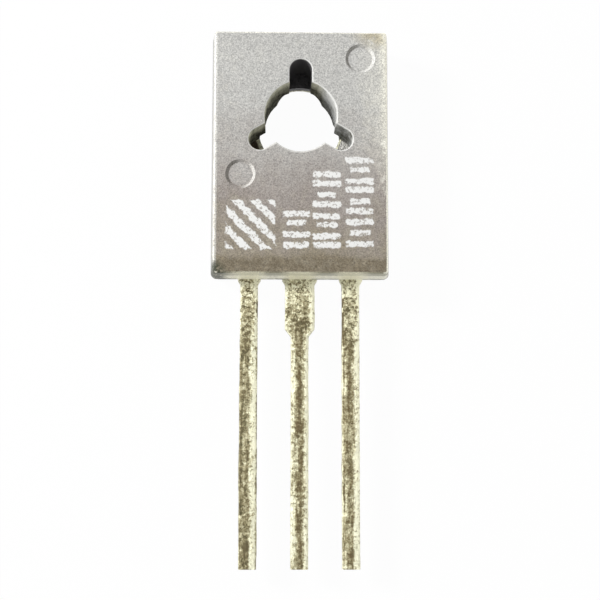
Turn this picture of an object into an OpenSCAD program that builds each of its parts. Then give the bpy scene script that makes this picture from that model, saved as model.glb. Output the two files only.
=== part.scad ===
// Plastic power transistor with a notched screw hole, an exposed back plate and three flat leads.
// It lies on its back: +Z leaves the front face, +Y points to the hole end and the leads run along -Y.
// The origin is on the axis of the screw hole, at the back face. All sizes are in millimetres.

/* [Moulded body] */
// Width of the body at its parting line
body_w = 7.7; // [7.4:0.1:8.2]
// Height of the body at its parting line
body_h = 10.8; // [10.6:0.1:11.4]
// Thickness of the body
body_t = 2.6; // [2.4:0.1:3]
// Draft of the moulded walls, in degrees
draft = 7; // [3:0.5:8]
// Radius of the upright corners at the parting line
corner_r = 0.26; // [0.24:0.02:0.6]
// Radius of the edge round the front face
edge_r = 0.1; // [0.06:0.02:0.14]

/* [Screw hole] */
// Diameter of the screw hole
bore_d = 3.1; // [3:0.05:3.2]
// Distance from the top of the body to the axis of the hole
bore_drop = 3.85; // [3.75:0.05:3.95]
// Width of the notches that open off the hole
notch_w = 0.95; // [0.8:0.05:1.1]
// Distance from the axis of the hole to the end of a notch
notch_reach = 2.5; // [2.4:0.05:2.6]
// Radius of the rounded mouth of the hole and the notches
mouth_r = 0.09; // [0.05:0.01:0.12]
// Thickness of the plastic that lines the hole in the back plate
liner_t = 0.3; // [0.2:0.05:0.35]
// Distance from the axis of the hole to the end of the flare at the back of a notch
flare_reach = 1.9; // [1.86:0.01:1.95]
// Height of the flares
flare_h = 0.9; // [0.6:0.05:1.1]
// Angle from the middle of a notch to the end of its flare, in degrees
flare_angle = 41; // [38:1:48]

/* [Ejector marks] */
// Diameter of the two round marks on the front face
mark_d = 1.28; // [0.8:0.02:1.4]
// Depth of the marks
mark_depth = 0.1; // [0.03:0.01:0.12]
// Width of the sloping edge of a mark
mark_edge = 0.12; // [0.05:0.01:0.15]
// Distance of each mark from the axis of the hole, across the body
mark_x = 2.57; // [2.4:0.01:2.7]
// Distance of each mark from the axis of the hole, along the body
mark_y = 2.55; // [2.4:0.01:2.7]

/* [Lead frame] */
// Thickness of the sheet that the plate and the leads are stamped from
sheet_t = 0.5; // [0.4:0.05:0.6]
// Width of the back plate
plate_w = 5.9; // [5.4:0.1:6.2]
// Plastic left above the back plate
plate_margin = 0.75; // [0.6:0.05:0.9]
// Plastic left below the back plate
plate_clear = 2.55; // [2.45:0.05:2.7]
// Corner radius of the back plate
plate_corner_r = 0.5; // [0.3:0.1:0.8]
// Width of the stepped edge that locks the plate in the plastic
lock_w = 0.2; // [0.1:0.05:0.3]
// Height of the back of the leads above the back of the body
lead_rise = 1; // [0.9:0.05:1.2]
// Radius on the inside of the two bends that lift the middle lead off the plate
bend_inner_r = 0.3; // [0.2:0.05:0.4]
// Angle of the bends, in degrees
bend_angle = 50; // [40:5:60]

/* [Leads] */
// Distance between the leads
lead_pitch = 2.2; // [2.1:0.05:2.4]
// Width of a lead
lead_w = 0.75; // [0.65:0.05:0.9]
// Radius of the edges along the leads
lead_edge_r = 0.12; // [0.06:0.01:0.18]
// Length of the leads outside the body
lead_l = 12.3; // [5:0.1:16]
// Width of the shoulder on the middle lead
shoulder_w = 1.27; // [1.1:0.01:1.4]
// Length of the shoulder below the body
shoulder_l = 2.15; // [1:0.05:2.5]
// Length over which the shoulder narrows to the lead
shoulder_taper = 0.32; // [0.28:0.02:0.8]
// Width of the bond pads at the inner ends of the outer leads
pad_w = 1.6; // [1.3:0.05:1.7]
// Length of the bond pads
pad_l = 1.1; // [0.9:0.05:1.2]
// Distance from the bond pads to the bottom of the body
pad_depth = 0.75; // [0.6:0.05:0.9]
// Corner radius of the bond pads
pad_corner_r = 0.2; // [0.1:0.05:0.4]

/* [Chip and wires] */
// Distance from the lower edge of the back plate to the solder under the chip
chip_margin = 0.3; // [0.2:0.05:0.5]
// Side of the square chip
chip_w = 1.7; // [1.3:0.1:1.8]
// Thickness of the chip
chip_t = 0.25; // [0.2:0.05:0.35]
// Thickness of the solder under the chip
solder_t = 0.05; // [0.03:0.01:0.08]
// Width of the solder that shows round the chip
solder_rim = 0.1; // [0.05:0.05:0.15]
// Diameter of the emitter wire
emitter_wire_d = 0.25; // [0.2:0.05:0.3]
// Diameter of the base wire
base_wire_d = 0.15; // [0.1:0.05:0.2]
// Height of the wire loops above the bond pads
wire_loop = 0.5; // [0.35:0.05:0.6]

/* [Hidden] */
$fn = 64;

// room past a face for a cut to come out cleanly
over = 0.5;
bore_r = bore_d / 2;
plate_hole_r = bore_r + liner_t;
notch_angles = [90, 210, 330];
// a flare is a circle that meets the hole at flare_angle and reaches flare_reach in the middle of its notch
flare_shift = (flare_reach * flare_reach - bore_r * bore_r) / (2 * (flare_reach - bore_r * cos(flare_angle)));
flare_r = flare_reach - flare_shift;

// the body runs from bottom_y to top_y, and the leads leave it at the parting line
top_y = bore_drop;
bottom_y = bore_drop - body_h;
middle_y = (top_y + bottom_y) / 2;
lead_front_z = lead_rise + sheet_t;
parting_z = lead_front_z;
tip_y = bottom_y - lead_l;
neck_y = bottom_y - shoulder_l;

plate_top_y = top_y - plate_margin;
plate_bottom_y = bottom_y + plate_clear;
bend_r = sheet_t / 2 + bend_inner_r;
bend_steps = 6;

chip_y = plate_bottom_y + chip_margin + solder_rim + chip_w / 2;
chip_top_z = sheet_t + solder_t + chip_t;
pad_y = bottom_y + pad_depth + pad_l / 2;

// the wall of the body as pairs of inset from the parting outline and height,
// up the drafted back, up the drafted front and round the front edge
edge_steps = 5;
edge_z = body_t - edge_r;
edge_inset = (edge_z - parting_z) * tan(draft) + edge_r / cos(draft);
// a corner is at least as round as the draft and the front edge need
corner_least = 0.02;
round_r = max(corner_r, edge_inset + corner_least);
function edge_point(a) = [edge_inset - edge_r * cos(a), edge_z + edge_r * sin(a)];
wall = concat(
    [[parting_z * tan(draft), 0], [0, parting_z]],
    [for (i = [0 : edge_steps]) edge_point(draft + (90 - draft) * i / edge_steps)]
);
function turned(points) = [for (i = [len(points) - 1 : -1 : 0]) points[i]];

// One drafted cross-section of the body, for a given half width at the parting line
module body_section(half) {
    polygon(concat(
        [for (p = wall) [half - p[0], p[1]]],
        [for (p = turned(wall)) [p[0] - half, p[1]]]
    ));
}

// A quarter of a drafted upright corner, turned about the corner's own axis
module body_corner() {
    rotate_extrude(angle = 90)
        polygon(concat([[0, 0]], [for (p = wall) [round_r - p[0], p[1]]], [[0, body_t]]));
}

// The outside of the moulding: two crossed drafted bars and four turned corners
module body_shell() {
    core_w = body_w - 2 * round_r;
    core_h = body_h - 2 * round_r;
    translate([0, middle_y, 0]) {
        rotate([90, 0, 0])
            linear_extrude(height = core_h, center = true)
                body_section(body_w / 2);
        rotate([90, 0, 90])
            linear_extrude(height = core_w, center = true)
                body_section(body_h / 2);
        for (i = [0 : 3]) {
            side_x = (i == 0 || i == 3) ? 1 : -1;
            side_y = (i < 2) ? 1 : -1;
            translate([side_x * core_w / 2, side_y * core_h / 2, 0])
                rotate([0, 0, 90 * i])
                    body_corner();
        }
    }
}

// The profile that rounds a mouth over: it starts inside the opening and ends on the front face
module mouth_profile() {
    difference() {
        translate([-mouth_r, -mouth_r])
            square([2 * mouth_r, mouth_r + over]);
        translate([mouth_r, -mouth_r])
            circle(r = mouth_r);
    }
}

// A round opening with a rounded mouth on the front face
module round_opening(r) {
    translate([0, 0, -over])
        cylinder(r = r, h = body_t + 2 * over);
    translate([0, 0, body_t])
        rotate_extrude()
            translate([r, 0])
                mouth_profile();
}

// One round-ended notch, from the axis of the hole outwards along +X
module notch() {
    run = notch_reach - notch_w / 2;
    translate([run, 0, 0])
        round_opening(notch_w / 2);
    translate([0, -notch_w / 2, -over])
        cube([run, notch_w, body_t + 2 * over]);
    for (side = [0, 1])
        mirror([0, side, 0])
            translate([0, notch_w / 2, body_t])
                rotate([90, 0, 90])
                    linear_extrude(height = run)
                        mouth_profile();
}

// The flare that widens the foot of a notch towards the back
module notch_flare() {
    translate([flare_shift, 0, -over])
        cylinder(r = flare_r, h = over + flare_h);
}

// The screw hole with its three notches, which reach down to the back plate
module screw_hole() {
    round_opening(bore_r);
    for (a = notch_angles)
        rotate([0, 0, a]) {
            notch();
            notch_flare();
        }
}

// A shallow round mark where an ejector pin pushed the moulding out of its tool
module ejector_mark() {
    translate([0, 0, body_t - mark_depth])
        cylinder(d1 = mark_d - 2 * mark_edge, d2 = mark_d, h = mark_depth);
    translate([0, 0, body_t])
        cylinder(d = mark_d, h = over);
}

// A rectangle with true round corners, centred on the origin
module round_rect(w, h, r) {
    square([w - 2 * r, h], center = true);
    square([w, h - 2 * r], center = true);
    for (x = [-1, 1], y = [-1, 1])
        translate([x * (w / 2 - r), y * (h / 2 - r)])
            circle(r = r);
}

// The moulding: everything that it was moulded round is left open in it
module moulded_body() {
    color([0.46, 0.44, 0.42])
        difference() {
            body_shell();
            screw_hole();
            for (side = [-1, 1])
                translate([side * mark_x, side * mark_y, 0])
                    ejector_mark();
            plate_and_shoulder();
            emitter_lead();
            base_lead();
            chip_solder();
            chip();
            emitter_wire();
            base_wire();
        }
}

// The back plate: its exposed half is narrower all round, so the plastic holds it in
module back_plate() {
    plate_h = plate_top_y - plate_bottom_y;
    translate([0, (plate_top_y + plate_bottom_y) / 2, 0])
        for (part = [[lock_w, 0], [0, sheet_t / 2]])
            translate([0, 0, part[1]])
                linear_extrude(height = sheet_t / 2)
                    round_rect(plate_w - 2 * part[0], plate_h - 2 * part[0], plate_corner_r - part[0] / 2);
}

// One face of the bent tongue, at a height off the middle of its sheet, as distances along -Y and heights
rise_left = lead_rise - 2 * bend_r * (1 - cos(bend_angle));
slope_l = rise_left / sin(bend_angle);
bend_in = -plate_bottom_y;
bend_out = bend_in + 2 * bend_r * sin(bend_angle) + slope_l * cos(bend_angle);
function lower_bend(s, a) = [bend_in + (bend_r - s) * sin(a), sheet_t / 2 + bend_r - (bend_r - s) * cos(a)];
function upper_bend(s, a) = [
    bend_out - (bend_r + s) * sin(a),
    sheet_t / 2 + lead_rise - bend_r + (bend_r + s) * cos(a)
];
function tongue_face(s) = concat(
    [[bend_in - 2 * lock_w, sheet_t / 2 + s]],
    [for (i = [0 : bend_steps]) lower_bend(s, bend_angle * i / bend_steps)],
    [for (i = [bend_steps : -1 : 0]) upper_bend(s, bend_angle * i / bend_steps)],
    [[-bottom_y - sheet_t, sheet_t / 2 + lead_rise + s]]
);

// The tongue that bends up from the plate, as far as the root of the middle lead
module bent_tongue() {
    rotate([90, 0, -90])
        linear_extrude(height = shoulder_w, center = true)
            polygon(concat(tongue_face(sheet_t / 2), turned(tongue_face(-sheet_t / 2))));
}

// A straight run of a lead with rounded edges, between two places along Y
module lead_run(w, from_y, to_y) {
    translate([0, from_y, lead_rise + sheet_t / 2])
        rotate([90, 0, 0])
            linear_extrude(height = from_y - to_y)
                round_rect(w, sheet_t, lead_edge_r);
}

// The plate, its tongue and the wide shoulder of the middle lead, which the plastic is moulded round
module plate_and_shoulder() {
    difference() {
        union() {
            back_plate();
            bent_tongue();
        }
        translate([0, 0, -over])
            cylinder(r = plate_hole_r, h = sheet_t + 2 * over);
    }
    lead_run(shoulder_w, bottom_y + 2 * sheet_t, neck_y);
}

// Plate, tongue and middle lead, stamped and bent from one sheet
module collector_frame() {
    taper_end = neck_y - shoulder_taper;
    slice = lead_edge_r / 10;
    color([0.76, 0.72, 0.58]) {
        plate_and_shoulder();
        hull() {
            lead_run(shoulder_w, neck_y + slice, neck_y, $fn = 32);
            lead_run(lead_w, taper_end, taper_end - slice, $fn = 32);
        }
        lead_run(lead_w, taper_end, tip_y);
    }
}

// An outer lead with the widened bond pad that anchors it in the plastic
module outer_lead(x) {
    color([0.76, 0.72, 0.58])
        translate([x, 0, 0]) {
            lead_run(lead_w, pad_y, tip_y);
            translate([0, pad_y, lead_rise])
                linear_extrude(height = sheet_t)
                    round_rect(pad_w, pad_l, pad_corner_r);
        }
}

module emitter_lead() {
    outer_lead(-lead_pitch);
}

module base_lead() {
    outer_lead(lead_pitch);
}

// The silicon chip
module chip() {
    color([0.36, 0.38, 0.42])
        translate([-chip_w / 2, chip_y - chip_w / 2, sheet_t + solder_t])
            cube([chip_w, chip_w, chip_t]);
}

// The solder that joins the chip to the plate
module chip_solder() {
    side = chip_w + 2 * solder_rim;
    color([0.62, 0.62, 0.63])
        translate([-side / 2, chip_y - side / 2, sheet_t])
            cube([side, side, solder_t]);
}

// Where a circular loop has its centre along the way, from its rise above each end and the way between them
function loop_centre(way, low, high) =
    let (q = low / high, b = q * way, c = q * way * way + low * (high - low))
    (sqrt(b * b + (1 - q) * c) - b) / (1 - q);

// A flattened wedge bond, on the surface below it
module bond_foot(d) {
    length = 2.4 * d;
    width = 1.5 * d;
    linear_extrude(height = 0.55 * d) {
        square([length - width, width], center = true);
        for (side = [-1, 1])
            translate([side * (length - width) / 2, 0])
                circle(d = width);
    }
}

// A bond wire that loops from the chip to a bond pad
module bond_wire(d, from, to) {
    way = norm(to - from);
    heading = atan2(to[1] - from[1], to[0] - from[0]);
    loop_z = lead_front_z + wire_loop;
    low = loop_z - chip_top_z;
    high = wire_loop;
    centre = loop_centre(way, low, high);
    loop_r = (centre * centre + low * low) / (2 * low);
    first = acos((way - centre) / loop_r);
    last = acos(-centre / loop_r);
    // a block that trims the wire flush with what it is bonded to
    trim = 4 * d;
    color([0.84, 0.84, 0.85])
        difference() {
            translate([from[0], from[1], 0])
                rotate([0, 0, heading]) {
                    translate([centre, 0, loop_z - loop_r])
                        rotate([90, 0, 0])
                            rotate([0, 0, first])
                                rotate_extrude(angle = last - first)
                                    translate([loop_r, 0])
                                        circle(d = d);
                    translate([0, 0, chip_top_z])
                        bond_foot(d);
                    translate([way, 0, lead_front_z])
                        bond_foot(d);
                }
            for (end = [[from, chip_top_z], [to, lead_front_z]])
                translate([end[0][0] - trim / 2, end[0][1] - trim / 2, end[1] - trim])
                    cube(trim);
        }
}

module emitter_wire() {
    bond_wire(emitter_wire_d, [-chip_w * 0.22, chip_y + chip_w * 0.12], [-lead_pitch, pad_y]);
}

module base_wire() {
    bond_wire(base_wire_d, [chip_w * 0.3, chip_y - chip_w * 0.22], [lead_pitch, pad_y]);
}

moulded_body();
collector_frame();
emitter_lead();
base_lead();
chip();
chip_solder();
emitter_wire();
base_wire();
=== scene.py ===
import math

import bmesh
import bpy
from bpy.props import FloatProperty, FloatVectorProperty, PointerProperty
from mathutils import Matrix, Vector, noise


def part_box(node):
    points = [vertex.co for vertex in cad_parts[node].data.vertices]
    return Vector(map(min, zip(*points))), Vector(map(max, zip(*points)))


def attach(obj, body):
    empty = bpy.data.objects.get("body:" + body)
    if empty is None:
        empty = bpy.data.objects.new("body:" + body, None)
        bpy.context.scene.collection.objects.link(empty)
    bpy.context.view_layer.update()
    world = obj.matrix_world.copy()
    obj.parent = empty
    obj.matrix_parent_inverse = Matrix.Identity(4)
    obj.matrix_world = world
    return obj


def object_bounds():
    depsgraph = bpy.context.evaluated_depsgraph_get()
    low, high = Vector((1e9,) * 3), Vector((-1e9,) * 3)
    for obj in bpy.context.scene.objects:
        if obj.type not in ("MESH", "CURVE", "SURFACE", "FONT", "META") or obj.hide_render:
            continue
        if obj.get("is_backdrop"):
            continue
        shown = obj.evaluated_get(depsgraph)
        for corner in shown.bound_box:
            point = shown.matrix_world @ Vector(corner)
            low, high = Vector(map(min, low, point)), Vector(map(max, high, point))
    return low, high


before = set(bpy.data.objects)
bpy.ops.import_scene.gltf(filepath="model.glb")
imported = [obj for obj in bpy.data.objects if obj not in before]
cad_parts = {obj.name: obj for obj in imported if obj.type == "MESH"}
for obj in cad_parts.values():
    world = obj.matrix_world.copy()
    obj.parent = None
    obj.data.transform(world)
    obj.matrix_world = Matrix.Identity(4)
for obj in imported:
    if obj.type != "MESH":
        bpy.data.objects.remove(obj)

bl_info = {
    "name": "Power Transistor",
    "version": (1, 0, 0),
    "blender": (4, 5, 0),
    "location": "3D View > Sidebar > Transistor",
    "description": "Finishes a moulded power transistor and sets it on a pale floor",
    "category": "Object",
}

MM = 0.001
CAD_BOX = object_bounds()
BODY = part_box("moulded_body")
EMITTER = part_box("emitter_lead")
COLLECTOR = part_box("collector_frame")
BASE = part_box("base_lead")

# Places in millimetres: the front face of the moulding, its right side, its end away from the leads, its end
# at the leads, and its parting line, which is at the front of the leads
FRONT = BODY[1].z / MM
SIDE = BODY[1].x / MM
HEAD = BODY[1].y / MM
FOOT = BODY[0].y / MM
PARTING = EMITTER[1].z / MM
# The pitch of the leads and the upper face of the chip, in millimetres
PITCH = (BASE[0].x + BASE[1].x) / 2 / MM
CHIP_TOP = 0.8

# Plain ink on the front face, in millimetres: strokes that run across the body, as (across, along, length,
# thickness)
INK_STROKES = (
    (-0.18, -4.28, 1.16, 0.25), (-0.18, -4.66, 0.80, 0.22), (-0.18, -5.16, 1.16, 0.25),
    (-0.18, -5.62, 1.10, 0.25), (1.11, -2.56, 1.18, 0.25), (1.11, -2.96, 1.18, 0.25),
    (1.11, -3.44, 0.84, 0.22), (1.11, -3.86, 1.18, 0.25), (1.11, -4.36, 1.16, 0.25),
    (1.11, -4.74, 0.86, 0.22), (1.11, -5.24, 1.18, 0.25), (1.11, -5.62, 1.18, 0.25),
    (2.52, -1.94, 1.18, 0.25), (2.52, -2.34, 0.84, 0.22), (2.52, -2.84, 1.18, 0.25),
    (2.52, -3.22, 1.18, 0.25), (2.52, -3.72, 0.86, 0.22), (2.52, -4.14, 1.18, 0.25),
    (2.52, -4.62, 1.18, 0.25), (2.52, -5.10, 0.84, 0.22), (2.52, -5.56, 1.18, 0.25),
)
# A square of slanting ink lines beside them, as (across, along, side, spacing, thickness)
INK_HATCH = (-2.12, -4.74, 2.1, 0.56, 0.28)
# The radius of the corners of the strokes and of the square
INK_CORNER = 0.06

# Where the two pin marks lie, on opposite sides of the hole, and their radius: (across, along, radius)
PIN_MARK = (2.57, 2.55, 0.64)

# How tarnished each lead is across its width, from 0 at its left edge to 1 at its right edge. The bright
# bands near the edges are partly a painted reflection
LEFT_TARNISH_AND_SHEEN = (
    (0.0, 0.45), (0.08, 0.8), (0.22, 0.68), (0.52, 0.6), (0.65, 0.1), (0.84, 0.0), (0.92, 0.05),
    (0.98, 0.5))
MIDDLE_TARNISH_AND_SHEEN = (
    (0.0, 0.1), (0.07, 0.3), (0.14, 0.2), (0.28, 0.42), (0.42, 0.68), (0.55, 0.74), (0.68, 0.5),
    (0.8, 0.2), (0.9, 0.0))
RIGHT_TARNISH_AND_SHEEN = (
    (0.0, 0.15), (0.07, 0.6), (0.18, 0.46), (0.38, 0.68), (0.58, 0.6), (0.72, 0.12), (0.88, 0.0),
    (0.98, 0.2))
# The same close under the body, where all three leads look alike
ROOT_TARNISH_AND_SHEEN = ((0.0, 0.1), (0.1, 0.48), (0.5, 0.54), (0.8, 0.48), (0.9, 0.0), (1.0, 0.0))

# Shades of the skin of the moulding and of the marks on it: its browner lower part, the darker band at
# its foot, a stain, a smudge, and the painted shade along the parting line
LOWER_BROWN = (0.295, 0.258, 0.2)
FOOT_DARK = (0.1, 0.08, 0.052)
CORNER_STAIN = (0.41, 0.35, 0.225)
CORNER_SMUDGE = (0.055, 0.06, 0.038)
PARTING_SHADE = (0.06, 0.058, 0.05)
# Tints of its grains, as (level of the noise, tint)
GRAIN_TINTS = ((0.3, (0.55, 0.55, 0.55)), (0.5, (1, 1, 1)), (0.7, (1.42, 1.42, 1.4)))
# Dust on its walls under the parting line, and above it where it isn't the pale film. The shades also
# hold painted light: darker on the plain walls, which face the key lamp, and paler on the right wall,
# which the lamp misses
LEAD_WALL_UNDER = (0.36, 0.345, 0.295)
RIGHT_WALL_UNDER = (0.33, 0.32, 0.295)
RIGHT_WALL_ABOVE = (0.48, 0.465, 0.415)
PLAIN_WALL_UNDER = (0.235, 0.23, 0.22)
PLAIN_WALL_ABOVE = (0.44, 0.435, 0.415)
# Worn places on its front, painted highlights on its left margin and rounded edges, a darker upper edge
# of the wall at the leads, and the tin that crept onto it beside the leads
SCUFF = (0.88, 0.87, 0.82)
LEFT_MARGIN = (0.84, 0.83, 0.79)
PLAIN_EDGE = (0.76, 0.75, 0.71)
LEAD_EDGE = (0.3, 0.285, 0.205)
CREPT_TIN = (0.98, 0.95, 0.74)
# The painted shade on the edge of a pin mark that faces right, the painted highlight on the edge that
# faces left, and its floor
MARK_SHADE = (0.15, 0.14, 0.12)
MARK_LIGHT = (0.82, 0.81, 0.77)
MARK_FLOOR = (0.66, 0.655, 0.64)
# A painted highlight on the rim of the screw hole, and its wall near the front, deep down, where painted
# shade darkens it, and on the left
HOLE_RIM_HIGHLIGHT = (0.85, 0.85, 0.82)
HOLE_UPPER = (0.72, 0.72, 0.7)
HOLE_DEEP = (0.44, 0.445, 0.44)
HOLE_LEFT = (0.58, 0.57, 0.45)

# Tin under a thin film and a thicker one, its olive stains, and the plate round the screw hole
THIN_TARNISH = (0.74, 0.7, 0.465)
HALF_TARNISH = (0.46, 0.42, 0.26)
OLIVE_STAIN = (0.115, 0.1, 0.045)
PLATE_STAINED = (0.085, 0.065, 0.035)
PLATE_BRIGHT = (0.62, 0.61, 0.57)

# Pieces inside the body: silicon and the metal of its contacts, solder and wire, dark and light
SILICON_DARK = (0.05, 0.055, 0.075)
SILICON_LIGHT = (0.10, 0.105, 0.13)
CONTACT_METAL = (0.72, 0.72, 0.74)
CONTACTS_PER_MM = 5
SOLDER_DARK = (0.3, 0.3, 0.31)
SOLDER_LIGHT = (0.62, 0.62, 0.64)
WIRE_DARK = (0.6, 0.6, 0.61)
WIRE_LIGHT = (0.86, 0.86, 0.87)

# The tin coats: how far one starts inside the body, stops short of the tip and flares below the body
COAT_ROOT = 0.12 * MM
COAT_TIP = 0.004 * MM
FLARE_RUN = 0.28 * MM
# The block that a coat is made from: its size at first, and its cuts across, through and along the lead, as
# (axis, cuts)
BLOCK_SIZE = 2
BLOCK_CUTS = ((0, 9), (2, 7), (1, 190))

# The level of the sky overhead and round the horizon, where 1 is white, and how fast it falls
ZENITH, HORIZON, SKY_FALL = 0.15, 1.2, 1.5
# Half the width of the floor, how far it lies below the part, and how much of it is plain white
FLOOR_REACH, FLOOR_GAP, FLOOR_WHITE = 2, 0.01 * MM, 0.97
# Where the lamps point, and each lamp as (name, place, size, power in watts)
LAMP_TARGET = Vector((0, -2, 1)) * MM
LAMPS = (
    ("key_light", Vector((-98, 36, 80)) * MM, 35 * MM, 0.169),
    ("edge_light", Vector((95, -8, 18)) * MM, 40 * MM, 0.028),
)
# The camera: its place, its turn in degrees, its lens and sensor in millimetres and how far it sees
CAMERA_PLACE = Vector((-1.098, -13.159, 50)) * MM
CAMERA_TURN = (6.252, -1.319, 0.106)
CAMERA_LENS, CAMERA_SENSOR = 67.88, 36
CAMERA_NEAR, CAMERA_FAR = 1 * MM, 10


class TransistorSizes(bpy.types.PropertyGroup):
    lead_width: FloatProperty(
        name="Lead width", description="Width of a lead under its tin coat",
        default=0.75 * MM, min=0.5 * MM, max=1 * MM, unit="LENGTH", precision=5)
    coat: FloatProperty(
        name="Coat", description="Thickness of the dipped tin coat on the leads",
        default=0.006 * MM, min=0, max=0.06 * MM, unit="LENGTH", precision=6)
    lump: FloatProperty(
        name="Lumps", description="Height of the lumps in the tin coat",
        default=0.024 * MM, min=0, max=0.04 * MM, unit="LENGTH", precision=6)
    flare: FloatProperty(
        name="Flare", description="How far the coat spreads where a lead leaves the body",
        default=0.12 * MM, min=0, max=0.2 * MM, unit="LENGTH", precision=6)
    shoulder_width: FloatProperty(
        name="Shoulder width", description="Width of the shoulder on the middle lead",
        default=1.27 * MM, min=1 * MM, max=1.5 * MM, unit="LENGTH", precision=5)
    shoulder_length: FloatProperty(
        name="Shoulder length", description="Length of the shoulder below the body",
        default=2.15 * MM, min=1 * MM, max=3 * MM, unit="LENGTH", precision=5)
    shoulder_taper: FloatProperty(
        name="Shoulder taper", description="Length over which the shoulder narrows to the lead",
        default=0.32 * MM, min=0.2 * MM, max=1 * MM, unit="LENGTH", precision=5)
    notch_reach: FloatProperty(
        name="Notch reach", description="Distance from the axis of the hole to the end of a notch",
        default=2.5 * MM, min=2 * MM, max=3 * MM, unit="LENGTH", precision=5)


class TransistorColours(bpy.types.PropertyGroup):
    epoxy: FloatVectorProperty(
        name="Epoxy", description="The matt skin of the moulding",
        subtype="COLOR", size=3, min=0, max=1, default=(0.525, 0.52, 0.5))
    epoxy_brown: FloatVectorProperty(
        name="Brown epoxy", description="The browner middle of the moulding",
        subtype="COLOR", size=3, min=0, max=1, default=(0.33, 0.295, 0.27))
    epoxy_foot: FloatVectorProperty(
        name="Epoxy foot", description="The olive brown of the moulding beside its leads",
        subtype="COLOR", size=3, min=0, max=1, default=(0.24, 0.204, 0.145))
    # Also a painted sheen, which makes the wall at the leads, the rounded edges and the right edge paler
    epoxy_film_and_sheen: FloatVectorProperty(
        name="Epoxy film", description="The pale dusty film on the walls and worn edges of the moulding",
        subtype="COLOR", size=3, min=0, max=1, default=(0.93, 0.91, 0.78))
    # Painted shade: the black that fills the deep upper notch, on its walls and on the plate under it
    upper_notch_shade: FloatVectorProperty(
        name="Epoxy in the notch", description="The black of the upper notch",
        subtype="COLOR", size=3, min=0, max=1, default=(0.095, 0.092, 0.095))
    # Also painted shade: it darkens the screw hole on the left, deep down and under a ledge
    grime_and_shade: FloatVectorProperty(
        name="Grime", description="The dark olive dirt on the walls of the screw hole",
        subtype="COLOR", size=3, min=0, max=1, default=(0.06, 0.058, 0.04))
    ink: FloatVectorProperty(
        name="Ink", description="The worn white ink on the front",
        subtype="COLOR", size=3, min=0, max=1, default=(0.86, 0.86, 0.84))
    tin: FloatVectorProperty(
        name="Tin", description="The bright places of the tin coat",
        subtype="COLOR", size=3, min=0, max=1, default=(0.97, 0.955, 0.72))
    tarnish: FloatVectorProperty(
        name="Tarnish", description="The dull olive film over most of the tin",
        subtype="COLOR", size=3, min=0, max=1, default=(0.265, 0.225, 0.11))
    stain: FloatVectorProperty(
        name="Stain", description="The darkest brown stains on the tin",
        subtype="COLOR", size=3, min=0, max=1, default=(0.132, 0.093, 0.036))
    floor: FloatVectorProperty(
        name="Floor", description="The pale floor",
        subtype="COLOR", size=3, min=0, max=1, default=(0.88, 0.88, 0.88))


class Signal:
    """A shader socket that takes part in Python arithmetic."""

    def __init__(self, finish, socket):
        self.finish = finish
        self.socket = socket

    def maths(self, operation, *values):
        return self.finish.node("ShaderNodeMath", {"operation": operation}, dict(enumerate(values)))

    def __add__(self, other):
        return self.maths("ADD", self, other)

    def __sub__(self, other):
        return self.maths("SUBTRACT", self, other)

    def __rsub__(self, other):
        return self.maths("SUBTRACT", other, self)

    def __mul__(self, other):
        return self.maths("MULTIPLY", self, other)

    def __truediv__(self, other):
        return self.maths("DIVIDE", self, other)

    def __rtruediv__(self, other):
        return self.maths("DIVIDE", other, self)

    def __pow__(self, other):
        return self.maths("POWER", self, other)

    def __mod__(self, other):
        return self.maths("FLOORED_MODULO", self, other)

    def __abs__(self):
        return self.maths("ABSOLUTE", self)

    def __neg__(self):
        return self.maths("MULTIPLY", self, -1)

    def __round__(self):
        return self.maths("ROUND", self)

    __radd__ = __add__
    __rmul__ = __mul__

    def lower(self, other):
        return self.maths("MINIMUM", self, other)

    def higher(self, other):
        return self.maths("MAXIMUM", self, other)

    def step(self, start, end):
        """0 up to start and 1 from end on, with a smooth change between them, whichever is larger."""
        return self.finish.node(
            "ShaderNodeMapRange", {"interpolation_type": "SMOOTHSTEP"},
            {"Value": self, "From Min": start, "From Max": end})


class Graph:
    """A node tree and the means to build it up."""

    def __init__(self, tree):
        self.tree = tree

    def node(self, kind, settings=None, sockets=None, output=0):
        """Adds a node, sets it up, fills its sockets and gives one of its outputs."""
        made = self.tree.nodes.new(kind)
        for name, value in (settings or {}).items():
            if name == "stops":
                self._stops(made.color_ramp, value)
            else:
                setattr(made, name, value)
        for name, value in (sockets or {}).items():
            self.feed(made.inputs[name], value)
        return Signal(self, made.outputs[output])

    def feed(self, socket, value):
        """Links a signal to a socket, or sets the socket to a plain value."""
        if isinstance(value, Signal):
            self.tree.links.new(value.socket, socket)
        else:
            socket.default_value = value

    def _stops(self, ramp, stops):
        while len(ramp.elements) < len(stops):
            ramp.elements.new(1)
        for element, (place, colour) in zip(ramp.elements, stops):
            element.position = place
            element.color = colour

    def parts(self, vector):
        """The three parts of a vector."""
        split = self.node("ShaderNodeSeparateXYZ", sockets={0: vector})
        return [Signal(self, out) for out in split.socket.node.outputs]

    def seen_directly(self):
        """1 for what the eye, a reflection or a clear piece shows, and 0 for plain light."""
        outputs = self.node("ShaderNodeLightPath").socket.node.outputs
        names = ("Is Camera Ray", "Is Glossy Ray", "Is Transmission Ray")
        camera, glossy, clear = (Signal(self, outputs[name]) for name in names)
        return (camera + glossy + clear).lower(1)


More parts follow.
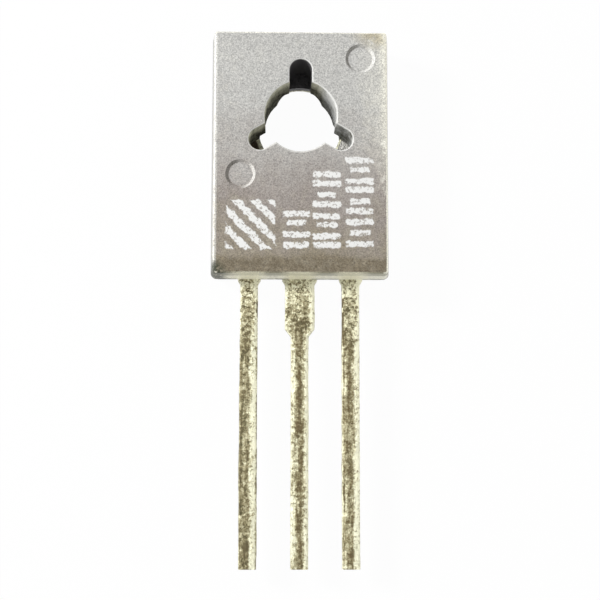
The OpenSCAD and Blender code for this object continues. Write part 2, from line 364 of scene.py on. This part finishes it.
class Finish(Graph):
    """A node material."""

    def __init__(self, name):
        self.material = bpy.data.materials.new(name)
        self.material.use_nodes = True
        super().__init__(self.material.node_tree)
        self.shader = self.tree.nodes["Principled BSDF"]
        self.surface = self.tree.nodes["Material Output"].inputs["Surface"]

    def set(self, **sockets):
        """Sets or links sockets of the surface shader, whose names are given with _ for a space."""
        for name, value in sockets.items():
            self.feed(self.shader.inputs[name.replace("_", " ")], value)

    def cover(self, factor, shader):
        """Lays another shader over the surface by a factor."""
        lit = Signal(self, self.shader.outputs[0])
        self.feed(self.surface, self.node("ShaderNodeMixShader", sockets={0: factor, 1: lit, 2: shader}))

    def place(self):
        """The place on the piece in millimetres, as a vector and its three parts."""
        metres = self.node("ShaderNodeTexCoord", output="Object")
        place = self.node("ShaderNodeVectorMath", {"operation": "SCALE"}, {0: metres, "Scale": 1 / MM})
        return place, *self.parts(place)

    def facing(self):
        """The three parts of the direction that the surface faces."""
        return self.parts(self.node("ShaderNodeTexCoord", output="Normal"))

    def stretch(self, place, factors):
        """A place with each of its parts scaled, which draws a pattern out where a factor is under 1."""
        return self.node("ShaderNodeVectorMath", {"operation": "MULTIPLY"}, {0: place, 1: factors})

    def grain(self, place, scale, detail=2.0, roughness=0.5):
        """Noise about a half."""
        return self.node("ShaderNodeTexNoise", sockets={
            "Vector": place, "Scale": scale, "Detail": detail, "Roughness": roughness})

    def mix(self, factor, first, second, blend="MIX"):
        """The first colour with the second laid over it by a factor."""
        return self.node(
            "ShaderNodeMix", {"data_type": "RGBA", "blend_type": blend},
            {0: factor, 6: opaque(first), 7: opaque(second)}, output=2)

    def ramp(self, value, *stops):
        """A colour that changes along a value, given at a few places on the way."""
        return self.node(
            "ShaderNodeValToRGB", {"stops": [(place, opaque(colour)) for place, colour in stops]}, {0: value})

    def level(self, value, *stops):
        """A plain number that changes along a value, given at a few places on the way."""
        return self.ramp(value, *((place, (height, height, height)) for place, height in stops))

    def bump(self, height, depth, strength):
        """The direction of a surface with a relief of some depth on it."""
        return self.node("ShaderNodeBump", sockets={
            "Height": height, "Distance": depth, "Strength": strength})


def opaque(colour):
    """A colour with full alpha, or a link as it is."""
    return colour if isinstance(colour, Signal) else (*colour, 1)


def length(x, y):
    return (x * x + y * y) ** 0.5


def stroke_distance(x, y, stroke):
    """Distance outside a round-cornered stroke, negative inside."""
    across, along, run, thickness = stroke
    beside = (abs(x - across) - (run / 2 - INK_CORNER)).higher(0)
    beyond = (abs(y - along) - (thickness / 2 - INK_CORNER)).higher(0)
    return length(beside, beyond) - INK_CORNER


def hatch_distance(x, y, hatch):
    """Distance outside the slanting lines of a hatched square."""
    across, along, side, spacing, thickness = hatch
    slant = (x - across + y - along) * math.sqrt(0.5)
    line = abs(slant % spacing - spacing / 2) - thickness / 2
    return line.higher(stroke_distance(x, y, (across, along, side, side)))


class Epoxy(Finish):
    """The finish of the moulding: where a place on it lies, and the layers that make up its colour."""

    def __init__(self, colours, sizes):
        super().__init__("epoxy")
        self.colours = colours
        self.spot, self.x, self.y, self.z = self.place()
        self.face_x, self.face_y, self.face_z = self.facing()

        # Noise, from fine to coarse
        self.fine = self.grain(self.spot, scale=19, detail=3, roughness=0.65)
        self.scab = self.grain(self.spot, scale=7.5, detail=3, roughness=0.6)
        self.patch = self.grain(self.spot, scale=3.4, detail=3, roughness=0.6)
        self.mottle = self.grain(self.spot, scale=2.6, detail=4, roughness=0.65)

        # Which way the surface faces. The walls lean in above and below the parting line, and the plain
        # sides are the left and upper walls, which face the key lamp
        self.upward = self.face_z.step(0.5, 0.9)
        self.upright = 1 - abs(self.face_z).step(0.3, 0.8)
        self.slope = self.face_z.step(0.1, 0.3) * (1 - self.face_z.step(0.94, 0.99))
        self.above_parting = self.face_z.step(-0.05, 0.05)
        self.rightward = self.face_x.step(0.4, 0.8)
        self.leadward = (-self.face_y).step(0.4, 0.8)
        self.plain_side = (-self.face_x).higher(self.face_y).step(0.3, 0.8)

        # Where it is: in the hole, on a wall, on a rounded edge, and how far sideways from the nearest lead
        reach = sizes.notch_reach / MM
        self.inside = 1 - length(self.x, self.y).step(reach + 0.1, reach + 0.2)
        self.outside = 1 - self.inside
        self.wall = self.upright * self.outside
        at_side = abs(self.x).step(SIDE - 0.35, SIDE - 0.29)
        self.rounded = at_side.higher(self.y.step(HEAD - 0.35, HEAD - 0.28)) * self.slope
        self.beside = abs(abs(self.x) - PITCH).lower(abs(self.x))

    def skin(self):
        """The clouded skin, grey at the head and browner towards the leads; the paler head is partly a
        painted sheen.
        """
        cloud = self.grain(self.spot, scale=0.5, detail=3, roughness=0.55)
        brown = self.y.step(HEAD - 0.45, FOOT - 0.65) + self.y.step(FOOT + 1.05, FOOT + 0.15) * 0.3
        brown = brown + (cloud - 0.5) * 0.5 + (self.mottle - 0.5) * 0.35
        return self.ramp(
            brown, (0.1, self.colours.epoxy), (0.72, self.colours.epoxy_brown), (0.95, LOWER_BROWN),
            (1.0, self.colours.epoxy_foot))

    def foot_band(self, skin):
        """A darker band, with darker flecks in it, along the lower edge of the front."""
        flat = self.face_z.step(0.8, 0.95)
        band = self.y.step(FOOT + 1.05, FOOT + 0.5) * self.patch.step(0.35, 0.6) * flat
        fleck = self.y.step(FOOT + 0.95, FOOT + 0.65) * self.scab.step(0.48, 0.64) * flat
        return self.mix((band * 0.32).higher(fleck * 0.55), skin, FOOT_DARK)

    def corner_stain(self, skin):
        """A tan stain at the upper right corner."""
        away = length((self.x - (SIDE - 0.15)) * 0.6, self.y - (HEAD - 0.05))
        stain = (1 - away.step(0.3, 1.1)) * self.patch.step(0.3, 0.5)
        return self.mix(stain * 0.9, skin, CORNER_STAIN)

    def scuffs(self, skin):
        """Small pale scuffs near the right edge of the front."""
        scuff = self.x.step(SIDE - 0.75, SIDE - 0.25) * self.y.step(-4.5, -1.5)
        scuff = scuff * self.mottle.step(0.5, 0.64) * self.upward
        return self.mix(scuff * 0.65, skin, SCUFF)

    def dust_and_painted_light_colour(self):
        """The dust on each wall, darker under the parting line, with painted shade where the key lamp falls.
        """
        lead_wall = self.mix(self.above_parting, LEAD_WALL_UNDER, self.colours.epoxy_film_and_sheen)
        raised = self.z.step(PARTING, FRONT - 0.2) * self.above_parting
        plain_wall = self.mix(raised, PLAIN_WALL_UNDER, PLAIN_WALL_ABOVE)
        right_wall = self.mix(self.above_parting, RIGHT_WALL_UNDER, RIGHT_WALL_ABOVE)
        return self.mix(self.rightward, self.mix(self.plain_side, lead_wall, plain_wall), right_wall)

    def dust(self, skin):
        """Uneven dust on the walls, thickest at the leads, and a thin painted sheen at the right of the
        front.
        """
        cover = 0.45 + self.plain_side * 0.3 + self.scab.step(0.32, 0.66) * (0.55 - self.plain_side * 0.3)
        cover = self.wall * (cover + self.leadward * self.x.step(-3.4, 1.6) * 0.35)
        # Painted sheen: the right of the front is made paler
        film = self.x.step(2.0, 3.9) * self.y.step(-5.5, 1) * 0.28 + (self.mottle - 0.5) * 0.5
        film = film * self.upward * self.outside
        return self.mix(cover.higher(film), skin, self.dust_and_painted_light_colour())

    def lead_edge(self, skin):
        """The olive upper edge of the wall at the leads, and tin that crept up the wall beside each lead."""
        near = self.y.step(FOOT + 0.45, FOOT + 0.35)
        upper = (self.z + self.scab * 0.3).step(FRONT - 0.4, FRONT - 0.2)
        edge = near * upper * (-self.face_y).step(0.2, 0.5)
        skin = self.mix(edge * 0.8, skin, LEAD_EDGE)
        creep = 1 - (self.beside + (self.scab - 0.5) * 0.7).step(0.3, 0.95)
        creep = creep * near * (-self.face_y).step(0.2, 0.6)
        return self.mix(creep * (0.95 - edge * 0.35), skin, CREPT_TIN)

    def edge_highlights(self, skin):
        """Painted highlights on the left margin of the front and on its rounded edges."""
        margin = (-self.x).step(SIDE - 0.3, SIDE - 0.25) * self.face_z.step(0.9, 0.98)
        skin = self.mix(margin * (0.15 + self.patch * 0.6), skin, LEFT_MARGIN)
        pale = self.mix(self.plain_side, self.colours.epoxy_film_and_sheen, PLAIN_EDGE)
        return self.mix(self.rounded * (0.45 + self.patch.step(0.35, 0.6) * 0.5), skin, pale)

    def right_edge_highlight(self, skin):
        """The palest painted highlight, on the right edge and in patches beside it."""
        beside = self.x.step(SIDE - 0.55, SIDE - 0.15) * self.y.step(-4, 0) * self.upward
        edge = self.x.step(SIDE - 0.36, SIDE - 0.32) * self.face_x.step(0.1, 0.3) * self.slope
        highlight = (beside * (0.25 + self.patch * 0.4)).higher(edge * (0.6 + self.patch * 0.5))
        return self.mix(highlight, skin, self.colours.epoxy_film_and_sheen)

    def corner_smudge(self, skin):
        """A dark smudge at the lower left corner."""
        away = length(self.x + (SIDE - 0.15), self.y - (FOOT + 0.15))
        smudge = (1 - away.step(0.25, 0.7)) * self.scab.step(0.32, 0.48)
        return self.mix(smudge * 0.95, skin, CORNER_SMUDGE)

    def parting_shade(self, skin):
        """Painted shade along the parting line, thicker between the leads and faint on the right."""
        away = abs(self.z - PARTING - 0.02 - self.leadward * 0.04)
        line = 1 - (away - (0.05 + self.leadward * 0.04)).step(-0.03, 0.03)
        line = line * self.wall * (1 - self.rightward * 0.7)
        line = line * (1 - self.leadward * (1 - self.beside.step(0.42, 0.6)))
        broken = self.patch.step(0.28, 0.5) * (0.9 - self.leadward * 0.3)
        return self.mix(line * broken, skin, PARTING_SHADE)

    def pin_marks(self, skin):
        """The two round pin marks: painted shade and a painted highlight on opposite edges, and a dusty
        floor.
        """
        across, along, radius = PIN_MARK
        away = length(self.x - across, self.y - along).lower(length(self.x + across, self.y + along))
        edge = (1 - away.step(radius + 0.02, radius + 0.05)) * self.slope
        turned = (self.face_x - self.face_y * 0.3) * edge
        skin = self.mix(turned.step(0.1, 0.55) * 0.7, skin, MARK_SHADE)
        skin = self.mix((-turned).step(0.1, 0.55) * 0.6, skin, MARK_LIGHT)
        floor = 1 - away.step(radius - 0.16, radius - 0.12)
        return self.mix(floor * self.scab * 0.5, skin, MARK_FLOOR)

    def grains(self, skin):
        """Fine dark and light grains, fainter on the walls."""
        return self.mix(1 - self.wall * 0.5, skin, self.ramp(self.fine, *GRAIN_TINTS), "MULTIPLY")

    def hole_rim_highlight(self, skin):
        """A painted highlight on the rounded rim of the screw hole."""
        rim = self.face_z.step(0.25, 0.5) * (1 - self.face_z.step(0.9, 0.98))
        rim = rim * self.inside * self.z.step(FRONT - 0.2, FRONT - 0.1)
        return self.mix(rim * 0.65, skin, HOLE_RIM_HIGHLIGHT)

    def ink(self):
        """How much worn ink lies on a place of the front face."""
        distance = hatch_distance(self.x, self.y, INK_HATCH)
        for stroke in INK_STROKES:
            distance = distance.lower(stroke_distance(self.x, self.y, stroke))
        ragged = self.grain(self.spot, scale=4.5, detail=4, roughness=0.65)
        pits = self.grain(self.spot, scale=9, detail=3, roughness=0.6)
        cover = 1 - (distance + (ragged - 0.5) * 0.34).step(-0.03, 0.03)
        front = self.face_z.step(0.95, 0.99) * self.z.step(FRONT - 0.02, FRONT - 0.005)
        return cover * (1 - pits.step(0.54, 0.64) * 0.75) * front

    def hole_wall(self):
        """The wall of the screw hole: pale on the right, with grime and painted shade on the left and deep
        down, and painted black shade in the upper notch.
        """
        # Painted shade: the wall is darker deep down, on the left and under the ledge of the right notch,
        # with uneven grime over it
        deep = self.z.step(FRONT - 0.05, 1.1)
        left = 1 - self.x.step(0.65, 1.2)
        under_ledge = self.x.step(1.5, 1.7) * self.y.step(-1.1, -0.8)
        streak = self.grain(self.stretch(self.spot, (1, 1, 0.15)), scale=4.5, detail=3, roughness=0.6)
        dirt_and_shade = 0.1 + left * (0.06 + deep * 0.72) + under_ledge * 0.55
        dirt_and_shade = dirt_and_shade + (self.mottle - 0.5) * 1.5 + (self.fine - 0.5) * 0.8 + (streak - 0.5) * 1.6
        clean = self.mix(left, self.mix(deep, HOLE_UPPER, HOLE_DEEP), HOLE_LEFT)
        wall = self.mix(dirt_and_shade, clean, self.colours.grime_and_shade)
        return self.mix(self.y.step(1.45, 1.55), wall, self.colours.upper_notch_shade)


def epoxy_finish(colours, sizes):
    """Moulded epoxy: a matt grainy skin, dusty walls, painted highlights and shade on its edges and pin
    marks, a grimy screw hole with painted shade, and worn ink.
    """
    epoxy = Epoxy(colours, sizes)
    skin = epoxy.skin()
    for layer in (
        epoxy.foot_band, epoxy.corner_stain, epoxy.scuffs, epoxy.dust, epoxy.lead_edge, epoxy.edge_highlights,
        epoxy.right_edge_highlight, epoxy.corner_smudge, epoxy.parting_shade, epoxy.pin_marks, epoxy.grains,
        epoxy.hole_rim_highlight,
    ):
        skin = layer(skin)
    ink = epoxy.ink()
    relief = epoxy.bump(epoxy.fine + ink * 0.4, depth=0.005 * MM, strength=0.7)
    epoxy.set(
        Base_Color=epoxy.mix(ink, skin, colours.ink),
        Roughness=0.42 + (epoxy.mottle - 0.5) * 0.2 + ink * 0.15 - epoxy.rounded * 0.16,
        Specular_IOR_Level=0.22,
        Normal=relief,
    )
    matt = epoxy.node("ShaderNodeBsdfPrincipled", sockets={
        "Base Color": epoxy.hole_wall(), "Roughness": 0.8, "Specular IOR Level": 0.05, "Normal": relief})
    epoxy.cover(epoxy.inside * epoxy.upright, matt)
    return epoxy.material


class Tin(Finish):
    """The finish of the leads: where a place lies on its lead, and how dull the tin is there."""

    def __init__(self, colours, sizes, name):
        super().__init__(name)
        self.colours = colours
        self.spot, self.x, self.y, self.z = self.place()
        self.face_x, _, self.face_z = self.facing()

        # Uneven places: long lines, blotches, specks, and thin winding creases that break off
        self.lines = self.uneven(scale=7, detail=3, roughness=0.6, along=0.13)
        self.blotch = self.uneven(scale=2, detail=3, roughness=0.6, along=0.7)
        self.speck = self.uneven(scale=6.5, detail=4, roughness=0.65)
        winding = abs(self.uneven(scale=4.2, detail=2, roughness=0.5))
        self.crease = (1 - winding.step(0.012, 0.05)) * self.speck.step(-0.08, 0.06)

        # Which lead it is, and whether the place is below the shoulder or close to the body
        lane = round(self.x / PITCH)
        self.left = (-lane).step(0.4, 0.6)
        self.right = lane.step(0.4, 0.6)
        self.neck = FOOT - sizes.shoulder_length / MM
        self.lower = self.y.step(self.neck + 0.6, self.neck - 1.6)
        self.root = self.y.step(FOOT - 1.0, FOOT - 0.1)

        # The place across the lead, from 0 at its left edge to 1 at its right edge, swaying a little
        wide = self.y.step(self.neck - sizes.shoulder_taper / MM, self.neck) * (1 - self.left - self.right)
        half = (sizes.lead_width + wide * (sizes.shoulder_width - sizes.lead_width)) / (2 * MM)
        sway = self.uneven(scale=1.6, detail=3, roughness=0.6, along=0.5)
        self.across = (self.x - lane * PITCH) / half * 0.5 + 0.5 + sway * 0.24

    def uneven(self, scale, detail, roughness, along=1.0):
        """Noise about zero, drawn out along the leads where along is under 1."""
        return self.grain(self.stretch(self.spot, (1, along, 1)), scale, detail, roughness) - 0.5

    def film(self):
        """The film of tarnish across each lead, with bright bands near its edges that are partly painted
        reflection, which is the same on all three close under the body.
        """
        root = self.level(self.across, *ROOT_TARNISH_AND_SHEEN)
        film = self.level(self.across, *MIDDLE_TARNISH_AND_SHEEN)
        film = film + (self.level(self.across, *LEFT_TARNISH_AND_SHEEN) - film) * self.left
        film = film + (self.level(self.across, *RIGHT_TARNISH_AND_SHEEN) - film) * self.right
        return (root + (film - root) * self.lower) * (1 + self.lower * 0.12)

    def smear(self):
        """A dull smear on the middle lead, where its shoulder ends."""
        away = length((self.x - 0.08) / 0.5, (self.y - self.neck - 0.15) / 0.42)
        return (1 - away.step(0.3, 1.1)) * (1 + self.speck * 4)

    def shaded_dashes(self):
        """Painted shade: dark dashes along the inner edges of the outer leads, above the neck."""
        edge = self.left * self.across.step(0.88, 0.95) + self.right * (1 - self.across.step(0.05, 0.12))
        return edge * (1 - self.lower) * (1 - self.root) * self.blotch.step(-0.05, 0.05)

    def sides(self):
        """How much duller a lead's sides are than its front, with rounded edges a little brighter as a
        painted highlight.
        """
        return abs(self.face_x).step(0.4, 0.85) * (0.3 - abs(self.face_z).step(0.15, 0.4) * 0.4)

    def dullness(self):
        """How dull the tin is, from about 0 where it is bright to 1 where it is stained."""
        grit = self.uneven(scale=14, detail=2, roughness=0.5)
        # Close under the body the tin is made brighter, painted light that lifts the shadow the body casts
        # there
        dull = self.film() + self.smear() * 0.3 - self.root * 0.2 + self.sides() + self.shaded_dashes()
        dull = dull + self.lines * (0.5 + self.lower) + self.blotch * (0.7 + self.lower * 0.3)
        dull = dull + self.speck * (1.8 - self.lower * 0.5) + grit * 0.8
        dull = dull + self.crease * (0.5 - self.lower * 0.25) - 0.03
        return 0.325 + (dull - 0.36) * 1.18

    def lead_colour(self, dull):
        """From bright tin through a thickening film to brown and olive stains."""
        brown = self.blotch.step(-0.12, 0.12) * 0.5 + self.lower * (1 - self.left) * 0.5
        stain = self.mix(brown, OLIVE_STAIN, self.colours.stain)
        film = self.ramp(
            dull, (0.06, self.colours.tin), (0.24, THIN_TARNISH), (0.44, HALF_TARNISH),
            (0.78, self.colours.tarnish))
        return self.mix(dull.step(0.62, 1.1), film, stain)

    def under_hole(self):
        """1 on the plate round the screw hole, apart from its back."""
        return (1 - length(self.x, self.y).step(2.6, 2.8)) * self.z.step(0.1, 0.2)

    def plate_colour(self):
        """The plate round the hole: stained on the left, bright at its lip, and black under the upper notch
        as painted shade.
        """
        lip = length(self.x, self.y) - (1 - self.x.step(-1.2, -0.8)) * 0.08
        plate = self.mix(self.x.step(-0.2, 1.2), PLATE_STAINED, PLATE_BRIGHT)
        plate = self.mix(1 - lip.step(1.9, 1.98), plate, self.colours.tin)
        return self.mix(self.y.step(0.9, 1.2), plate, self.colours.upper_notch_shade)


def tin_finish(colours, sizes, name):
    """Dipped tin gone dull: an olive film, brown streaks along the leads, and a stained plate, with painted
    reflections near the lead edges and painted shade under the upper notch.
    """
    tin = Tin(colours, sizes, name)
    dull = tin.dullness()
    plate = tin.under_hole()
    clean = (1 - dull.step(0.1, 0.8)) * (1 - plate)
    relief = tin.speck + tin.blotch + tin.lines * 0.5 - tin.crease * 0.35
    tin.set(
        Base_Color=tin.mix(plate, tin.lead_colour(dull), tin.plate_colour()),
        Metallic=0.3 - clean * 0.1,
        Roughness=0.5 - clean * 0.12,
        Normal=tin.bump(relief, depth=0.1 * MM, strength=0.9),
    )
    return tin.material


def silicon_finish():
    """Polished silicon with the pale metal fingers of its two contacts."""
    finish = Finish("silicon")
    place, _, y, z = finish.place()
    cloud = finish.grain(place, scale=3, detail=3)
    finger = abs(y * CONTACTS_PER_MM % 1 - 0.5).step(0.2, 0.24) * z.step(CHIP_TOP - 0.02, CHIP_TOP - 0.01)
    dark = finish.ramp(cloud, (0.2, SILICON_DARK), (0.8, SILICON_LIGHT))
    finish.set(
        Base_Color=finish.mix(finger, dark, CONTACT_METAL),
        Metallic=finger * 0.9,
        Roughness=0.18 + cloud * 0.15,
    )
    return finish.material


def soft_metal_finish(name, light, dark, scale, depth):
    """Soft grey metal with a fine uneven skin, for the solder and the bond wires."""
    finish = Finish(name)
    place = finish.place()[0]
    skin = finish.grain(place, scale, detail=4, roughness=0.6)
    cloud = finish.grain(place, scale / 6)
    finish.set(
        Base_Color=finish.ramp(skin * 0.6 + cloud * 0.4, (0.3, dark), (0.7, light)),
        Metallic=0.9,
        Roughness=0.3 + skin * 0.25,
        Normal=finish.bump(skin, depth, strength=0.5),
    )
    return finish.material


def floor_finish(colours):
    """A pale floor that is white to the eye and in reflections, and still takes the object's shadow."""
    finish = Finish("pale_floor")
    white = finish.node("ShaderNodeEmission", sockets={"Color": (1, 1, 1, 1), "Strength": 1.0})
    dust = finish.grain(finish.place()[0], scale=0.05)
    paint = finish.mix(dust, colours.floor, tuple(c * 0.98 for c in colours.floor))
    finish.set(Base_Color=paint, Roughness=0.9)
    finish.cover(finish.seen_directly() * FLOOR_WHITE, white)
    return finish.material


def finish_node(name, material):
    """Gives a CAD node its finish in every slot."""
    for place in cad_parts[name].material_slots:
        place.material = material


def add_piece(name, bm, material):
    """Turns a bmesh into a smooth piece that rides on the part."""
    mesh = bpy.data.meshes.new(name)
    bm.to_mesh(mesh)
    bm.free()
    for face in mesh.polygons:
        face.use_smooth = True
    piece = bpy.data.objects.new(name, mesh)
    mesh.materials.append(material)
    bpy.context.scene.collection.objects.link(piece)
    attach(piece, "root")


def ease(t):
    """A smooth rise from 0 to 1."""
    t = min(1, max(0, t))
    return t * t * (3 - 2 * t)


def lead_half_width(y, sizes, shouldered):
    """Half the width of a coated lead at a place along it, from its flared root to its tip."""
    below = BODY[0].y - y
    half = sizes.lead_width / 2
    if shouldered:
        narrowed = min(1, max(0, (below - sizes.shoulder_length) / sizes.shoulder_taper))
        half = (sizes.shoulder_width / 2) * (1 - narrowed) + half * narrowed
    return half + sizes.coat + sizes.flare * (1 - ease(below / FLARE_RUN))


def round_section(u, v, power=4.0):
    """Moves a point of a square, from -1 to 1 each way, onto a square with full round corners."""
    reach = max(abs(u), abs(v))
    if reach == 0:
        return u, v
    shrink = reach / (abs(u) ** power + abs(v) ** power) ** (1 / power)
    return u * shrink, v * shrink


def lumps(spot, across, along, shift=0):
    """Soft noise, with about so many lumps to the metre across and along a lead."""
    return noise.noise(Vector((spot.x * across, spot.y * along, spot.z * across + shift)))


def coat_block():
    """A block from -1 to 1 each way, cut finely along the lead and coarsely across it."""
    bm = bmesh.new()
    bmesh.ops.create_cube(bm, size=BLOCK_SIZE)
    for axis, cuts in BLOCK_CUTS:
        whole = [e for e in bm.edges if abs((e.verts[0].co - e.verts[1].co)[axis]) > BLOCK_SIZE * 0.95]
        bmesh.ops.subdivide_edges(bm, edges=whole, cuts=cuts, use_grid_fill=True)
    return bm


def lead_coat(name, box, sizes, shouldered, material):
    """The dipped tin coat round one lead: a long block with rounded edges and soft lumps."""
    start, end = BODY[0].y + COAT_ROOT, box[0].y + COAT_TIP
    middle_x = (box[0].x + box[1].x) / 2
    middle_z = (EMITTER[0].z + EMITTER[1].z) / 2
    half_z = (EMITTER[1].z - EMITTER[0].z) / 2 + sizes.coat
    bm = coat_block()
    for vert in bm.verts:
        u, t, v = vert.co
        y = start + (end - start) * (1 - t) / 2
        u, v = round_section(u, v)
        half_x = lead_half_width(y, sizes, shouldered)
        spot = Vector((middle_x + u * half_x, y, middle_z + v * half_z))
        wave = lumps(spot, across=900, along=500) + 0.9 * lumps(spot, across=2400, along=1900, shift=7)
        out = Vector((u * abs(u), 0, v * abs(v)))
        if out.length > 0:
            out.normalize()
        vert.co = spot + out * sizes.lump * wave
    bmesh.ops.recalc_face_normals(bm, faces=bm.faces)
    add_piece(name, bm, material)


class TRANSISTOR_OT_epoxy(bpy.types.Operator):
    """Give the moulding its epoxy finish"""
    bl_idname = "transistor.epoxy"
    bl_label = "Moulded Body"

    def execute(self, context):
        scene = context.scene
        finish_node("moulded_body", epoxy_finish(scene.transistor_colours, scene.transistor_sizes))
        return {"FINISHED"}


class TRANSISTOR_OT_lead_frame(bpy.types.Operator):
    """Give the stamped lead frame its tinned finish"""
    bl_idname = "transistor.lead_frame"
    bl_label = "Lead Frame"

    def execute(self, context):
        scene = context.scene
        tin = tin_finish(scene.transistor_colours, scene.transistor_sizes, "tinned_sheet")
        for name in ("collector_frame", "emitter_lead", "base_lead"):
            finish_node(name, tin)
        return {"FINISHED"}


class TRANSISTOR_OT_lead_coats(bpy.types.Operator):
    """Coat the three leads with dipped tin"""
    bl_idname = "transistor.lead_coats"
    bl_label = "Tin Coats"

    def execute(self, context):
        sizes = context.scene.transistor_sizes
        tin = tin_finish(context.scene.transistor_colours, sizes, "dipped_tin")
        lead_coat("emitter_coat", EMITTER, sizes, False, tin)
        lead_coat("collector_coat", COLLECTOR, sizes, True, tin)
        lead_coat("base_coat", BASE, sizes, False, tin)
        return {"FINISHED"}


class TRANSISTOR_OT_inner_pieces(bpy.types.Operator):
    """Give the chip, its solder and the bond wires their finishes"""
    bl_idname = "transistor.inner_pieces"
    bl_label = "Chip and Wires"

    def execute(self, context):
        finish_node("chip", silicon_finish())
        solder = soft_metal_finish("die_solder", SOLDER_LIGHT, SOLDER_DARK, scale=12, depth=0.008 * MM)
        finish_node("chip_solder", solder)
        wire = soft_metal_finish("drawn_wire", WIRE_LIGHT, WIRE_DARK, scale=20, depth=0.003 * MM)
        for name in ("emitter_wire", "base_wire"):
            finish_node(name, wire)
        return {"FINISHED"}


class TRANSISTOR_OT_stage(bpy.types.Operator):
    """Set up the floor, the soft light and the camera"""
    bl_idname = "transistor.stage"
    bl_label = "Stage"

    def execute(self, context):
        scene = context.scene
        self.floor(scene)
        self.world(scene)
        for lamp in LAMPS:
            self.lamp(scene, *lamp)
        self.camera(scene)
        scene.view_settings.view_transform = "Standard"
        return {"FINISHED"}

    def floor(self, scene):
        bm = bmesh.new()
        bmesh.ops.create_grid(bm, x_segments=1, y_segments=1, size=FLOOR_REACH)
        bmesh.ops.translate(bm, verts=bm.verts, vec=(0, 0, CAD_BOX[0].z - FLOOR_GAP))
        mesh = bpy.data.meshes.new("floor")
        bm.to_mesh(mesh)
        bm.free()
        mesh.materials.append(floor_finish(scene.transistor_colours))
        floor = bpy.data.objects.new("floor", mesh)
        scene.collection.objects.link(floor)
        floor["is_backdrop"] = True

    def world(self, scene):
        world = bpy.data.worlds.new("soft_sky")
        world.use_nodes = True
        sky = Graph(world.node_tree)
        up = sky.parts(sky.node("ShaderNodeTexCoord", output="Generated"))[2]
        level = ZENITH + (HORIZON - ZENITH) * (1 - up.higher(0)) ** SKY_FALL
        light = sky.node("ShaderNodeBackground", sockets={"Color": (1, 1, 1, 1), "Strength": level})
        white = sky.node("ShaderNodeBackground", sockets={"Color": (1, 1, 1, 1), "Strength": 1.0})
        both = sky.node("ShaderNodeMixShader", sockets={0: sky.seen_directly(), 1: light, 2: white})
        sky.feed(world.node_tree.nodes["World Output"].inputs["Surface"], both)
        scene.world = world

    def lamp(self, scene, name, place, size, power):
        light = bpy.data.lights.new(name, "AREA")
        light.shape = "DISK"
        light.size = size
        light.energy = power
        lamp = bpy.data.objects.new(name, light)
        lamp.location = place
        lamp.rotation_euler = (LAMP_TARGET - place).to_track_quat("-Z", "Y").to_euler()
        lamp.visible_camera = False
        scene.collection.objects.link(lamp)

    def camera(self, scene):
        data = bpy.data.cameras.new("camera")
        data.sensor_width = CAMERA_SENSOR
        data.lens = CAMERA_LENS
        data.clip_start = CAMERA_NEAR
        data.clip_end = CAMERA_FAR
        camera = bpy.data.objects.new("camera", data)
        camera.location = CAMERA_PLACE
        camera.rotation_euler = [math.radians(angle) for angle in CAMERA_TURN]
        scene.collection.objects.link(camera)
        scene.camera = camera


class TRANSISTOR_PT_panel(bpy.types.Panel):
    """The steps that dress the transistor"""
    bl_idname = "TRANSISTOR_PT_panel"
    bl_label = "Power Transistor"
    bl_space_type = "VIEW_3D"
    bl_region_type = "UI"
    bl_category = "Transistor"

    def draw(self, context):
        for group in (context.scene.transistor_sizes, context.scene.transistor_colours):
            box = self.layout.box()
            for name in group.__annotations__:
                box.prop(group, name)
        for step in STEPS:
            self.layout.operator(step.bl_idname)


STEPS = (
    TRANSISTOR_OT_epoxy, TRANSISTOR_OT_lead_frame, TRANSISTOR_OT_lead_coats, TRANSISTOR_OT_inner_pieces,
    TRANSISTOR_OT_stage,
)
CLASSES = (TransistorSizes, TransistorColours, *STEPS, TRANSISTOR_PT_panel)


def register():
    for cls in CLASSES:
        bpy.utils.register_class(cls)
    bpy.types.Scene.transistor_sizes = PointerProperty(type=TransistorSizes)
    bpy.types.Scene.transistor_colours = PointerProperty(type=TransistorColours)


def unregister():
    del bpy.types.Scene.transistor_colours
    del bpy.types.Scene.transistor_sizes
    for cls in reversed(CLASSES):
        bpy.utils.unregister_class(cls)


def main():
    register()
    bpy.ops.transistor.epoxy()
    bpy.ops.transistor.lead_frame()
    bpy.ops.transistor.lead_coats()
    bpy.ops.transistor.inner_pieces()
    bpy.ops.transistor.stage()
    {"cad": [list(c) for c in CAD_BOX], "visual": [list(c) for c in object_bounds()]}


if __name__ == "__main__":
    main()
